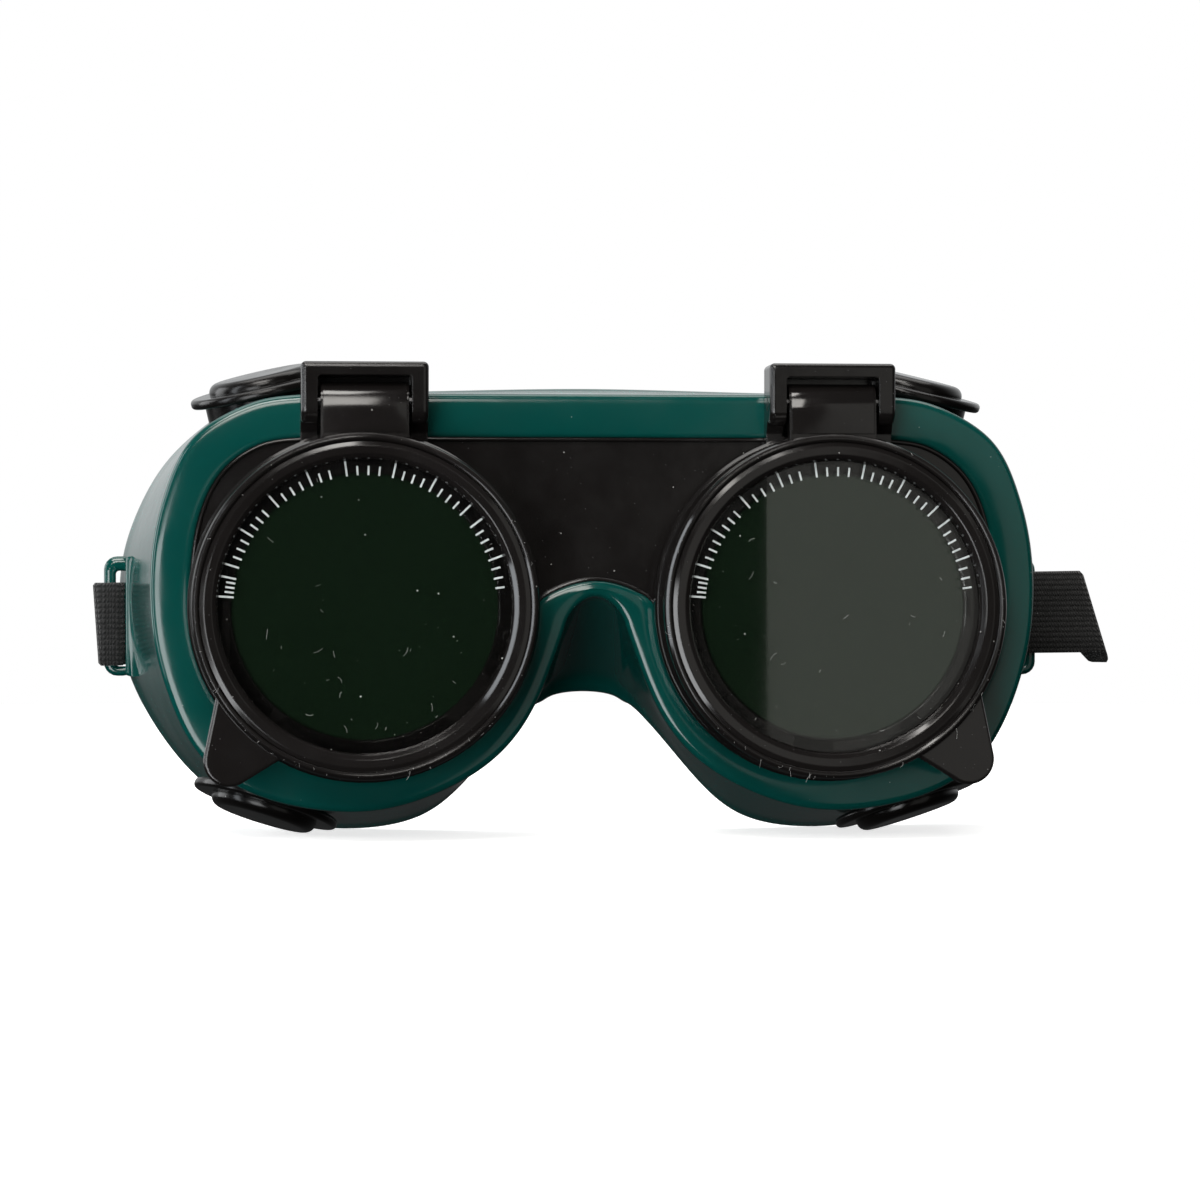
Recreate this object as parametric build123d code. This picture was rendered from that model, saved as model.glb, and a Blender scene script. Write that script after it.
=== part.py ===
from build123d import *
import math
import os

# Welding goggles with two flip-up round lenses.
# Working frame: X to the wearer's left, -Y out of the front, +Z up, with the lens axes at z = 0
# and the front face of the body at y = 0. main() sets the finished
# pieces on the floor, with the origin under their middle.

# ---- driving dimensions, mm ----
LENS_D = 50.0
LENS_X = 39.6
POCKET_R = 25.15
APERTURE_R = 22.4

CUP_FRONT_Y = -13.0
CUP_BACK_Y = -4.1
CUP_R = 29.1
CUP_SKIRT_R = 28.0
RING_SEAT_R = 27.8
LEDGE_FRONT_Y = -8.6
LEDGE_BACK_Y = -7.6
COVER_LENS_T = 2.0
SHADE_LENS_T = 2.4
SHADE_RING_T = 0.9
FIT = 0.02

PIVOT_Y = -5.0
PIVOT_Z = 34.5
PIN_R = 1.25
PIN_PLAY = 0.06
BARREL_R = 3.3
TONGUE_W = 14.8

HOUSING_W = 21.5
HOUSING_GAP = 15.8
HOUSING_TOP_Z = 41.2
HOUSING_FRONT_Y = -8.6
HOUSING_BACK_Y = -0.3
HOUSING_EAR_Z = 30.8
HOUSING_EDGE_R = 0.9
ROOF_T = 2.3

BOSS_R = 29.8
BOSS_NECK_R = 28.8
BOSS_FRONT_Y = -3.8

FLANGE_T = 4.6
PLATE_FRONT_Y = 1.2
PLATE_T = 2.2
PLATE_TOP_Z = 28.8
PLATE_SIDE_R = 29.3
PLATE_GRIP = 1.0
GROOVE_PLAY = 0.05
NOSE_ARCH_Z = 4.4
NOSE_ARCH_R = 14.7

WALL_T = 2.3
FLANGE_STEP = 0.8
FACE_R = 150.0
NOSE_DEPTH = 31.0
LOFT_DEPTH = 60.0

LUG_FRONT_Y = 48.5
LUG_T = 3.0
LUG_OUTER_X = 86.3
LUG_TOP_Z = 9.0
LUG_BOTTOM_Z = -12.6
SLOT_X = (82.0, 84.2)
SLOT_Z = (-10.9, 6.4)

STRAP_W = 15.0
STRAP_T = 1.3
STRAP_Z = -2.2
KEEPER_Y = 73.0
KEEPER_LEN = 8.0
KEEPER_WALL = 1.3
KEEPER_PLAY = 0.3

# Right half of the flange outline, from the top centre round to the nose arch.
FLANGE_HALF = [
    (0, 36.3), (25, 36.3), (49.2, 36.1), (60, 34.0), (67.9, 28.5), (72.6, 20), (75.2, 10),
    (75.4, -2), (72.9, -13), (67.4, -24.2), (58.5, -31.4), (47, -34.7), (36, -34.6), (25.5, -31.2),
    (16.5, -25.3), (10.3, -16.8), (6.6, -7.6), (3.9, -0.8), (0, 1.6),
]
# The same stations where the body meets the face.
REAR_HALF = [
    (0, 38.8), (28, 38.8), (54, 38.4), (65.5, 34.3), (73.5, 26.5), (79, 17.5), (82, 8),
    (82.4, -2.5), (80.4, -13), (73.5, -25.0), (63.5, -34.4), (51, -38.8), (38.5, -39.4), (28, -36.8),
    (20.5, -30.6), (14.5, -23.6), (9.5, -18.2), (5, -15.6), (0, -15.0),
]

VENTS = {
    "top": {"centre": (56.2, 17.0, 36.6), "lean": 13.0, "tip": 6.5, "up": 1},
    "bottom": {"centre": (55.8, 18.0, -33.2), "lean": 17.5, "tip": 9.0, "up": -1},
}
VENT_SEAT_R = 10.6
VENT_SEAT_T = 5.3
VENT_BRIM_R = 12.9
VENT_CROWN_R = 9.4

SIDES = {"left": -1, "right": 1}


# ---- helpers ----
def front_view(y):
    """The plane of a sketch drawn in x and z at depth y, seen from the front."""
    return Plane.XZ.offset(-y)


def slab(face, y_front, y_back):
    """A sketch in x and z made solid from y_front back to y_back."""
    return extrude(front_view(y_back) * face, y_back - y_front)


def disc(radius, y_front, y_back, x=0.0, z=0.0):
    return slab(Pos(x, z) * Circle(radius), y_front, y_back)


def ring(outer, inner, y_front, y_back):
    return disc(outer, y_front, y_back) - disc(inner, y_front, y_back)


def turned(profile):
    """A solid of revolution about the lens axis from a closed (radius, y) outline."""
    return revolve(make_face(Polyline(*profile, close=True)), Axis.Y)


def inset(points, distance):
    """Moves a closed outline inwards along its normals; the points run clockwise."""
    moved = []
    count = len(points)
    for i in range(count):
        (x0, z0), (x1, z1) = points[i - 1], points[(i + 1) % count]
        length = math.hypot(x1 - x0, z1 - z0)
        moved.append((points[i][0] + (z1 - z0) / length * distance,
                      points[i][1] - (x1 - x0) / length * distance))
    return moved


def whole(half):
    """Both halves of a symmetric outline."""
    return half + [(-x, z) for x, z in half[-2:0:-1]]


def half_face(points):
    """The right half of a symmetric outline, closed along the middle."""
    return make_face([Spline(*points, tangents=[(1, 0), (-1, 0)]), Line(points[-1], points[0])])


def face_depth(x):
    """How far back the body reaches at this distance from its middle."""
    return NOSE_DEPTH + FACE_R - math.sqrt(FACE_R**2 - x**2)


def carried_back(front, rear):
    """Runs the straight wall lines on past the face to the plane at LOFT_DEPTH."""
    reached = []
    for (x0, z0), (x1, z1) in zip(front, rear):
        share = LOFT_DEPTH / face_depth(x1)
        reached.append((x0 + (x1 - x0) * share, z0 + (z1 - z0) * share))
    return reached


def mirrored(shape, side):
    return shape if side > 0 else mirror(shape, Plane.YZ)


# ---- body ----
def plate_outline(grow=0.0):
    """The front opening: straight top, elliptical shoulders, lens circles, nose arch."""
    top = PLATE_TOP_Z + grow
    side = LENS_X + PLATE_SIDE_R + grow
    radius = PLATE_SIDE_R + grow
    upper = Polyline((0, 0), (0, top), (52, top), (60.5, 26.3 + 0.7 * grow),
                     (66.2 + 0.9 * grow, 19.5 + 0.4 * grow), (side, 5), (side, 0), (0, 0))
    corners = make_face(upper)
    corners = fillet([v for v in corners.vertices() if v.X > 50 and v.Y > 4], 9.0)
    brow = corners + mirror(corners, Plane.YZ)
    brow -= Pos(0, NOSE_ARCH_Z - NOSE_ARCH_R) * Circle(NOSE_ARCH_R - grow)
    for lens_x in (-LENS_X, LENS_X):
        brow += Pos(lens_x, 0) * Circle(radius)
    return brow


def wall_loft(front, rear, y_front):
    """The right half of the space inside a wall that runs straight from front to face."""
    faces = [front_view(y_front) * half_face(front),
             front_view(LOFT_DEPTH) * half_face(carried_back(front, rear))]
    return loft(faces, ruled=True)


def half_inset(half, distance):
    moved = inset(whole(half), distance)[:len(half)]
    moved[0] = (0, moved[0][1])
    moved[-1] = (0, moved[-1][1])
    return moved


def lug():
    """Flat tab for the strap and the slot through it."""
    inner = LUG_OUTER_X - 7.2
    height = LUG_TOP_Z - LUG_BOTTOM_Z
    middle_z = (LUG_TOP_Z + LUG_BOTTOM_Z) / 2
    tab = Pos((inner + LUG_OUTER_X) / 2, middle_z) * RectangleRounded(LUG_OUTER_X - inner, height, 2.4)
    hole = Pos(sum(SLOT_X) / 2, sum(SLOT_Z) / 2) * Rectangle(SLOT_X[1] - SLOT_X[0], SLOT_Z[1] - SLOT_Z[0])
    return slab(tab, LUG_FRONT_Y, LUG_FRONT_Y + LUG_T), slab(hole, LUG_FRONT_Y - 1, LUG_FRONT_Y + LUG_T + 1)


def facepiece():
    """Soft body: flange, flared wall and lug of one half, cut out, then mirrored."""
    flange = slab(half_face(FLANGE_HALF), 0, FLANGE_T)
    outer = wall_loft(half_inset(FLANGE_HALF, FLANGE_STEP), REAR_HALF, FLANGE_T / 2)
    inner = wall_loft(half_inset(FLANGE_HALF, FLANGE_STEP + WALL_T), half_inset(REAR_HALF, WALL_T), FLANGE_T)
    tab, hole = lug()
    body = flange + outer + tab - inner - hole
    body -= slab(plate_outline(), -1, PLATE_FRONT_Y + PLATE_T)
    body -= slab(plate_outline(PLATE_GRIP + GROOVE_PLAY), PLATE_FRONT_Y - GROOVE_PLAY,
                 PLATE_FRONT_Y + PLATE_T + GROOVE_PLAY)
    body -= slab(plate_outline(-1.2), PLATE_FRONT_Y, FLANGE_T + 1)
    body -= Pos(0, NOSE_DEPTH + FACE_R, 0) * Cylinder(FACE_R, 200)
    for spot in VENTS.values():
        place = vent_place(spot, 1)
        body -= place * Pos(0, 0, -2) * Cylinder(VENT_SEAT_R + GROOVE_PLAY, 16)
        body -= place * Pos(0, 0, 5) * Cylinder(VENT_BRIM_R + 0.5, 10)
    return body + mirror(body, Plane.YZ)


# ---- vents ----
def vent_place(spot, side):
    """Puts +Z of a vent piece along the outward normal of the wall at its spot."""
    x, y, z = spot["centre"]
    lean = math.radians(spot["lean"])
    tip = math.radians(spot["tip"])
    outward = Vector(side * math.sin(lean), -math.sin(tip), spot["up"] * math.cos(lean))
    return Plane(origin=(side * x, y, z), z_dir=outward.normalized()).location


def vent_seat():
    """Collar that plugs the round hole in the wall, hollow towards the inside."""
    collar = Pos(0, 0, 0.3 - VENT_SEAT_T / 2) * Cylinder(VENT_SEAT_R, VENT_SEAT_T)
    hollow = Pos(0, 0, -1.2 - VENT_SEAT_T / 2) * Cylinder(VENT_SEAT_R - 1.4, VENT_SEAT_T)
    return collar - hollow


def vent_cap():
    """Domed crown on a wide thin brim."""
    brim = Pos(0, 0, 1.15) * Cylinder(VENT_BRIM_R, 1.7)
    brim = fillet(brim.edges().filter_by(GeomType.CIRCLE), 0.7)
    crown = Pos(0, 0, 2.7) * Cylinder(VENT_CROWN_R, 2.4)
    crown = fillet(crown.edges().filter_by(GeomType.CIRCLE).sort_by(Axis.Z)[-1], 1.7)
    return brim + crown


# ---- front plate ----
def hinge_housing():
    """Two ears under a roof bar, standing in front of the flange and rooted in the plate."""
    outline = Polyline((HOUSING_BACK_Y, HOUSING_TOP_Z), (HOUSING_FRONT_Y, HOUSING_TOP_Z),
                       (HOUSING_FRONT_Y, HOUSING_EAR_Z), (-4.4, HOUSING_EAR_Z), (-3.4, 29.4),
                       (-3.4, PLATE_TOP_Z - 3), (PLATE_FRONT_Y + 0.5, PLATE_TOP_Z - 3),
                       (PLATE_FRONT_Y + 0.5, PLATE_TOP_Z - 0.4), (HOUSING_BACK_Y, PLATE_TOP_Z - 0.4), close=True)
    side_face = make_face(outline)
    lower = [v for v in side_face.vertices() if v.Y < HOUSING_EAR_Z + 0.1 and v.X < -8]
    side_face = fillet(lower, 2.6)
    block = extrude(Plane.YZ.offset(-HOUSING_W / 2) * side_face, HOUSING_W)
    front = [edge for edge in block.edges() if edge.center().Y < HOUSING_FRONT_Y + 1.2]
    top = block.faces().sort_by(Axis.Z)[-1].edges()
    block = fillet(set(front) | set(top), HOUSING_EDGE_R)
    gap_top = HOUSING_TOP_Z - ROOF_T
    gap = Pos(0, -10, gap_top - 20) * Box(HOUSING_GAP, 2 * (10 - 1.5), 40)
    arch = [edge for edge in gap.edges().filter_by(Axis.Y) if edge.center().Z > gap_top - 0.1]
    block -= fillet(arch, 0.7)
    pin_hole = Pos(0, PIVOT_Y, PIVOT_Z) * Rot(0, 90, 0) * Cylinder(PIN_R + FIT, HOUSING_W + 2)
    return block - pin_hole


def lens_boss():
    """Round boss that holds the fixed clear lens from the front."""
    profile = [(APERTURE_R, PLATE_FRONT_Y + PLATE_T), (APERTURE_R, PLATE_FRONT_Y), (POCKET_R, PLATE_FRONT_Y),
               (POCKET_R, -2.4), (RING_SEAT_R - 0.6, -2.4), (RING_SEAT_R - 0.6, BOSS_FRONT_Y),
               (BOSS_R - 0.4, BOSS_FRONT_Y), (BOSS_R, BOSS_FRONT_Y + 0.4), (BOSS_R, -0.25),
               (BOSS_NECK_R, -0.25), (BOSS_NECK_R, PLATE_FRONT_Y + PLATE_T)]
    return turned(profile)


def front_plate():
    plate = slab(plate_outline(PLATE_GRIP), PLATE_FRONT_Y, PLATE_FRONT_Y + PLATE_T)
    for side in SIDES.values():
        plate += Pos(side * LENS_X, 0, 0) * hinge_housing()
        plate -= disc(BOSS_NECK_R - 0.3, BOSS_FRONT_Y - 1, 6, side * LENS_X)
        plate += Pos(side * LENS_X, 0, 0) * lens_boss()
    return plate


def clear_lens():
    return disc(LENS_D / 2, PLATE_FRONT_Y - 2.2, PLATE_FRONT_Y)


def clear_ring():
    profile = [(24.4, -1.0), (25.05, -1.0), (25.05, -2.4), (27.15, -2.4), (27.15, -3.5), (24.9, -3.5), (24.4, -3.1)]
    return turned(profile)


# ---- flip cup, drawn about its own lens axis ----
def cup_shell():
    profile = [(APERTURE_R, LEDGE_BACK_Y), (APERTURE_R, LEDGE_FRONT_Y + 0.3), (APERTURE_R + 0.3, LEDGE_FRONT_Y),
               (POCKET_R, LEDGE_FRONT_Y), (POCKET_R, -11.1), (RING_SEAT_R, -11.1), (RING_SEAT_R, CUP_FRONT_Y + 0.25),
               (RING_SEAT_R + 0.35, CUP_FRONT_Y), (CUP_R - 0.65, CUP_FRONT_Y), (CUP_R - 0.2, CUP_FRONT_Y + 0.35),
               (CUP_R, CUP_FRONT_Y + 0.9), (CUP_R, -9.6), (CUP_R - 0.4, -9.0), (CUP_SKIRT_R, -8.6),
               (CUP_SKIRT_R, CUP_BACK_Y), (POCKET_R, CUP_BACK_Y), (POCKET_R, LEDGE_BACK_Y)]
    return turned(profile)


def cup_tongue():
    """Curved strip from the top of the cup to a barrel round the pin."""
    strip = make_face(Polyline((-9.0, 26.4), (-8.9, 28.5), (-8.3, PIVOT_Z), (PIVOT_Y, PIVOT_Z + 0.5),
                               (-2.4, PIVOT_Z - 2.0), (-5.6, 29.6), (-6.0, 26.4), close=True))
    outline = strip + Pos(PIVOT_Y, PIVOT_Z) * Circle(BARREL_R)
    tongue = extrude(Plane.YZ.offset(-TONGUE_W / 2) * outline, TONGUE_W)
    return tongue - disc(CUP_SKIRT_R - 1.0, -14, -3)


def thumb_tab(side):
    """Teardrop tab at the lower outer edge."""
    corner = (28.9, -34.6)
    blade = make_face(Polyline((20.0, -11.0), (24.6, -13.6), corner, (14.1, -25.5), (11.5, -23.5), close=True))
    tip = [v for v in blade.vertices() if v.X > 28]
    blade = fillet(tip, 4.3)
    tab = slab(blade, -12.3, -9.9)
    faces = tab.faces().sort_by(Axis.Y)
    tab = fillet(faces[0].edges().sort_by(Axis.Z)[:3], 0.6)
    return mirrored(tab, side) - disc(CUP_SKIRT_R, -14, -3)


def flip_cup(side):
    cup = cup_shell() + cup_tongue() + thumb_tab(side)
    mark_x = -side * 23.75
    ejector = ring(0.85, 0.65, LEDGE_FRONT_Y - 0.5, LEDGE_FRONT_Y + 0.25)
    cup -= Pos(mark_x, 0, -4.9) * ejector
    bore = Pos(0, PIVOT_Y, PIVOT_Z) * Rot(0, 90, 0) * Cylinder(PIN_R + PIN_PLAY, TONGUE_W + 2)
    return cup - bore


def cover_lens():
    return disc(LENS_D / 2, LEDGE_FRONT_Y - COVER_LENS_T, LEDGE_FRONT_Y)


def cover_ring():
    """Smooth ring pressed into the rim; its inner edge overlaps the glass."""
    profile = [(24.6, -10.62), (25.1, -10.62), (25.1, -11.12), (RING_SEAT_R - FIT, -11.12),
               (RING_SEAT_R - FIT, -12.4), (26.9, -12.7), (25.6, -12.6), (24.9, -12.1), (24.6, -11.4)]
    return turned(profile)


def shade_lens():
    return disc(LENS_D / 2, LEDGE_BACK_Y, LEDGE_BACK_Y + SHADE_LENS_T)


def shade_ring():
    back = LEDGE_BACK_Y + SHADE_LENS_T
    return ring(POCKET_R - FIT, 23.4, back, back + SHADE_RING_T)


def hinge_pin():
    return Pos(0, PIVOT_Y, PIVOT_Z) * Rot(0, 90, 0) * Cylinder(PIN_R, HOUSING_W)


# ---- strap ----
def bends(points, radii):
    """For each corner: where its arc starts, its middle and its end, and the left normals there."""
    found = []
    for before, corner, after, radius in zip(points, points[1:], points[2:], radii):
        heading_in = (Vector(*corner) - Vector(*before)).normalized()
        heading_out = (Vector(*after) - Vector(*corner)).normalized()
        left_in = Vector(-heading_in.Y, heading_in.X)
        left_out = Vector(-heading_out.Y, heading_out.X)
        turn = math.radians(heading_in.get_angle(heading_out))
        reach = radius * math.tan(turn / 2)
        start = Vector(*corner) - heading_in * reach
        end = Vector(*corner) + heading_out * reach
        left_mid = (left_in + left_out).normalized()
        inwards = 1 if left_in.dot(heading_out) > 0 else -1
        middle = Vector(*corner) + left_mid * inwards * radius * (1 / math.cos(turn / 2) - 1)
        found.append(((start, left_in), (middle, left_mid), (end, left_out)))
    return found


def band_side(points, radii, shift):
    """One edge of the strip: the runs and arcs of its path moved sideways."""
    corners = bends(points, radii)
    here = Vector(*points[0]) + corners[0][0][1] * shift
    edges = []
    for corner in corners:
        start, middle, end = [point + left * shift for point, left in corner]
        edges += [Line(here, start), ThreePointArc(start, middle, end)]
        here = end
    last = Vector(*points[-1]) + corners[-1][2][1] * shift
    return edges + [Line(here, last)]


def band(points, radii, thickness):
    """A strip of constant thickness about a path of runs and arcs, as a flat face."""
    left = band_side(points, radii, thickness / 2)
    right = band_side(points, radii, -thickness / 2)
    ends = [Line(left[-1] @ 1, right[-1] @ 1), Line(right[0] @ 0, left[0] @ 0)]
    return make_face([*left, *right, *ends])


# Plan route of the strap's middle line, from its sewn end round the left lug, behind the goggles,
# round the right lug and back through the keeper.
STRAP_PLAN = [
    (-79.4, 76), (-83.2, 58), (-83.1, 47.5), (-87.15, 47.5), (-87.15, 54), (-84.9, 60), (-79, 86),
    (-62, 106), (-34, 117), (0, 120.5), (34, 118), (62, 112), (80, 100), (85.9, 84), (85.9, 64),
    (93.5, 57.5), (96.6, 47.5), (83.1, 47.5), (83.1, 54), (83.6, 61), (83.6, 84),
]
STRAP_RADII = [12, 1.3, 1.3, 6, 20, 26, 40, 60, 60, 60, 40, 20, 14, 6, 3, 1.6, 1.3, 6, 20]
# Height of the middle line against depth: level to the keeper, then a shallow sag.
STRAP_FALL = [(40, STRAP_Z), (84, STRAP_Z), (130, STRAP_Z - 7)]


def strap():
    plan = band(STRAP_PLAN, STRAP_RADII, STRAP_T)
    height = band(STRAP_FALL, [60], STRAP_W)
    ribbon = extrude(Pos(0, 0, -60) * plan, 90)
    return ribbon & extrude(Plane.YZ.offset(-110) * height, 220)


def strap_keeper():
    """Slide with one slot for each ply of the strap."""
    slot = STRAP_T + 2 * KEEPER_PLAY
    inner_x, outer_x = 83.6, 85.9
    low_x = inner_x - slot / 2 - KEEPER_WALL
    high_x = outer_x + slot / 2 + KEEPER_WALL
    tall = STRAP_W + 2 * KEEPER_PLAY
    frame = Pos((low_x + high_x) / 2, STRAP_Z) * RectangleRounded(high_x - low_x, tall + 2 * KEEPER_WALL, 1.2)
    for x in (inner_x, outer_x):
        frame -= Pos(x, STRAP_Z) * Rectangle(slot, tall)
    return slab(frame, KEEPER_Y - KEEPER_LEN / 2, KEEPER_Y + KEEPER_LEN / 2)


# ---- assembly ----
def lens_pieces():
    return {
        "flip_cup": flip_cup,
        "cover_lens": lambda side: cover_lens(),
        "cover_ring": lambda side: cover_ring(),
        "shade_lens": lambda side: shade_lens(),
        "shade_ring": lambda side: shade_ring(),
        "clear_lens": lambda side: clear_lens(),
        "clear_ring": lambda side: clear_ring(),
        "hinge_pin": lambda side: hinge_pin(),
    }


def hard_and_body_pieces():
    pieces = {"facepiece": facepiece(), "front_plate": front_plate()}
    for side_name, side in SIDES.items():
        for name, make in lens_pieces().items():
            pieces[f"{name}_{side_name}"] = Pos(side * LENS_X, 0, 0) * make(side)
        for row, spot in VENTS.items():
            pieces[f"vent_seat_{row}_{side_name}"] = vent_place(spot, side) * vent_seat()
            pieces[f"vent_cap_{row}_{side_name}"] = vent_place(spot, side) * vent_cap()
    return pieces


def main():
    pieces = hard_and_body_pieces()
    boxes = [shape.bounding_box() for shape in pieces.values()]
    floor_z = min(box.min.Z for box in boxes)
    middle_y = (min(box.min.Y for box in boxes) + max(box.max.Y for box in boxes)) / 2
    pieces["strap"] = strap()
    pieces["strap_keeper"] = strap_keeper()
    os.makedirs("parts", exist_ok=True)
    for name, shape in pieces.items():
        export_step(Pos(0, -middle_y, -floor_z) * shape, f"parts/{name}.step")
    print(f"lens axis {-floor_z:.3f} mm above the floor, front face at y = {-middle_y:.3f} mm")


main()
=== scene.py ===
import math
import random

import bmesh
import bpy
import numpy as np
from mathutils import Matrix, Vector


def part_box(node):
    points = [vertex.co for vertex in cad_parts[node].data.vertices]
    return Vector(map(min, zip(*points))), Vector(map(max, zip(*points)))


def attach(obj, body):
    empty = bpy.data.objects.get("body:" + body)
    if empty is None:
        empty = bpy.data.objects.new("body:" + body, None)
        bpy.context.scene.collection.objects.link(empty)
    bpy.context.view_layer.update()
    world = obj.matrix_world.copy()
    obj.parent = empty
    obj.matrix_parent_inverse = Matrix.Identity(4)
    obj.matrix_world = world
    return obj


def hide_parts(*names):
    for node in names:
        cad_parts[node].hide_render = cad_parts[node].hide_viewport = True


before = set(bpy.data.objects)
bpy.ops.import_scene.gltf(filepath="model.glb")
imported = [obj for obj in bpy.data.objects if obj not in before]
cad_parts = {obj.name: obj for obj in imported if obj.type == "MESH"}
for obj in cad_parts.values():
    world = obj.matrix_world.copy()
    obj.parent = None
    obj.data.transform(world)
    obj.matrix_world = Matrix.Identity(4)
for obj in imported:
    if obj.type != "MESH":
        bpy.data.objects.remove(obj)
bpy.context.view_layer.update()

MM = 0.001

# ---- places taken from the frame ----
LENS_LO, LENS_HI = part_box("cover_lens_right")
LENS_X = (LENS_LO[0] + LENS_HI[0]) / 2 / MM
LENS_Z = (LENS_LO[2] + LENS_HI[2]) / 2
FRONT_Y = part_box("facepiece")[0][1]
SIDES = {"left": -1, "right": 1}


def at(x, y, z):
    """A point given in millimetres from the lens axes' height and the body's front face."""
    return Vector((x * MM, FRONT_Y + y * MM, LENS_Z + z * MM))


# ---- node helpers ----
class Nodes:
    """A material's node tree, with a short way to add and wire nodes."""

    def __init__(self, name):
        self.material = bpy.data.materials.new(name)
        self.material.use_nodes = True
        self.tree = self.material.node_tree
        self.shader = self.tree.nodes["Principled BSDF"]
        self.coords = self.tree.nodes.new("ShaderNodeTexCoord")

    def add(self, kind, inputs=None, **settings):
        node = self.tree.nodes.new("ShaderNode" + kind)
        for key, value in settings.items():
            setattr(node, key, value)
        for key, value in (inputs or {}).items():
            if isinstance(value, bpy.types.NodeSocket):
                self.tree.links.new(value, node.inputs[key])
            else:
                node.inputs[key].default_value = value
        return node

    def mix_colour(self, share, first, second):
        node = self.add("Mix", data_type="RGBA")
        for socket, value in ((0, share), (6, first), (7, second)):
            if isinstance(value, bpy.types.NodeSocket):
                self.tree.links.new(value, node.inputs[socket])
            else:
                node.inputs[socket].default_value = value
        return node.outputs[2]

    def ramp(self, value, low, high, start=0.0, end=1.0):
        node = self.add("MapRange", {"Value": value, "From Min": low, "From Max": high,
                                     "To Min": start, "To Max": end})
        return node.outputs["Result"]

    def shape(self, **values):
        """Sets or wires sockets of the main shader by name, with _ for a space."""
        for key, value in values.items():
            socket = self.shader.inputs[key.replace("_", " ")]
            if isinstance(value, bpy.types.NodeSocket):
                self.tree.links.new(value, socket)
            else:
                socket.default_value = value

    def bump(self, height, strength, distance, normal=None):
        inputs = {"Height": height, "Strength": strength, "Distance": distance}
        if normal is not None:
            inputs["Normal"] = normal
        return self.add("Bump", inputs).outputs["Normal"]


def colour(r, g, b):
    return (r, g, b, 1.0)


def specks(nodes, scale, size, seed, rarity=0.72):
    """1 on scattered tiny dots, 0 elsewhere."""
    moved = nodes.add("Mapping", {"Vector": nodes.coords.outputs["Object"], "Location": (seed, seed / 3, 0)})
    dots = nodes.add("TexVoronoi", {"Vector": moved.outputs["Vector"], "Scale": scale})
    keep = nodes.add("TexWhiteNoise", {"Vector": dots.outputs["Position"]}, noise_dimensions="3D")
    near = nodes.ramp(dots.outputs["Distance"], size, size * 0.5)
    few = nodes.ramp(keep.outputs["Value"], rarity, rarity + 0.02)
    return nodes.add("Math", {0: near, 1: few}, operation="MULTIPLY").outputs["Value"]


def green_vinyl():
    nodes = Nodes("green_vinyl")
    place = nodes.coords.outputs["Object"]
    cloudy = nodes.add("TexNoise", {"Vector": place, "Scale": 38.0, "Detail": 4.0}).outputs["Fac"]
    tint = nodes.mix_colour(cloudy, colour(0.0012, 0.046, 0.040), colour(0.0022, 0.062, 0.053))
    dust = specks(nodes, 420.0, 0.055, 3.0)
    tint = nodes.mix_colour(dust, tint, colour(0.16, 0.24, 0.22))
    ripple = nodes.add("TexNoise", {"Vector": place, "Scale": 70.0, "Detail": 2.0}).outputs["Fac"]
    smear = nodes.add("TexNoise", {"Vector": place, "Scale": 120.0, "Detail": 5.0}).outputs["Fac"]
    nodes.shape(Base_Color=tint, Roughness=nodes.ramp(smear, 0.3, 0.7, 0.09, 0.17),
                IOR=1.5, Subsurface_Weight=0.12, Subsurface_Scale=0.002,
                Subsurface_Radius=(0.2, 1.0, 0.8), Normal=nodes.bump(ripple, 0.12, 0.0006))
    return nodes.material


def black_plastic(name, low=0.07, high=0.17, grey=0.004, grain=0.05, dusty=0.72, shine=0.5):
    nodes = Nodes(name)
    place = nodes.coords.outputs["Object"]
    cloudy = nodes.add("TexNoise", {"Vector": place, "Scale": 60.0, "Detail": 5.0}).outputs["Fac"]
    tint = nodes.mix_colour(cloudy, colour(grey * 0.7, grey * 0.62, grey * 0.6),
                            colour(grey * 1.5, grey * 1.3, grey * 1.25))
    tint = nodes.mix_colour(specks(nodes, 1100.0, 0.10, 7.0, dusty), tint, colour(0.07, 0.07, 0.07))
    tint = nodes.mix_colour(specks(nodes, 420.0, 0.07, 1.0, dusty), tint, colour(0.26, 0.26, 0.25))
    smear = nodes.add("TexNoise", {"Vector": place, "Scale": 90.0, "Detail": 6.0, "Roughness": 0.65})
    ripple = nodes.add("TexNoise", {"Vector": place, "Scale": 160.0, "Detail": 2.0}).outputs["Fac"]
    soft_edge = nodes.add("Bevel", {"Radius": 0.0003}, samples=4).outputs["Normal"]
    nodes.shape(Base_Color=tint, Roughness=nodes.ramp(smear.outputs["Fac"], 0.3, 0.7, low, high), IOR=1.5,
                Specular_IOR_Level=shine, Normal=nodes.bump(ripple, grain, 0.0004, soft_edge))
    return nodes.material


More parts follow.
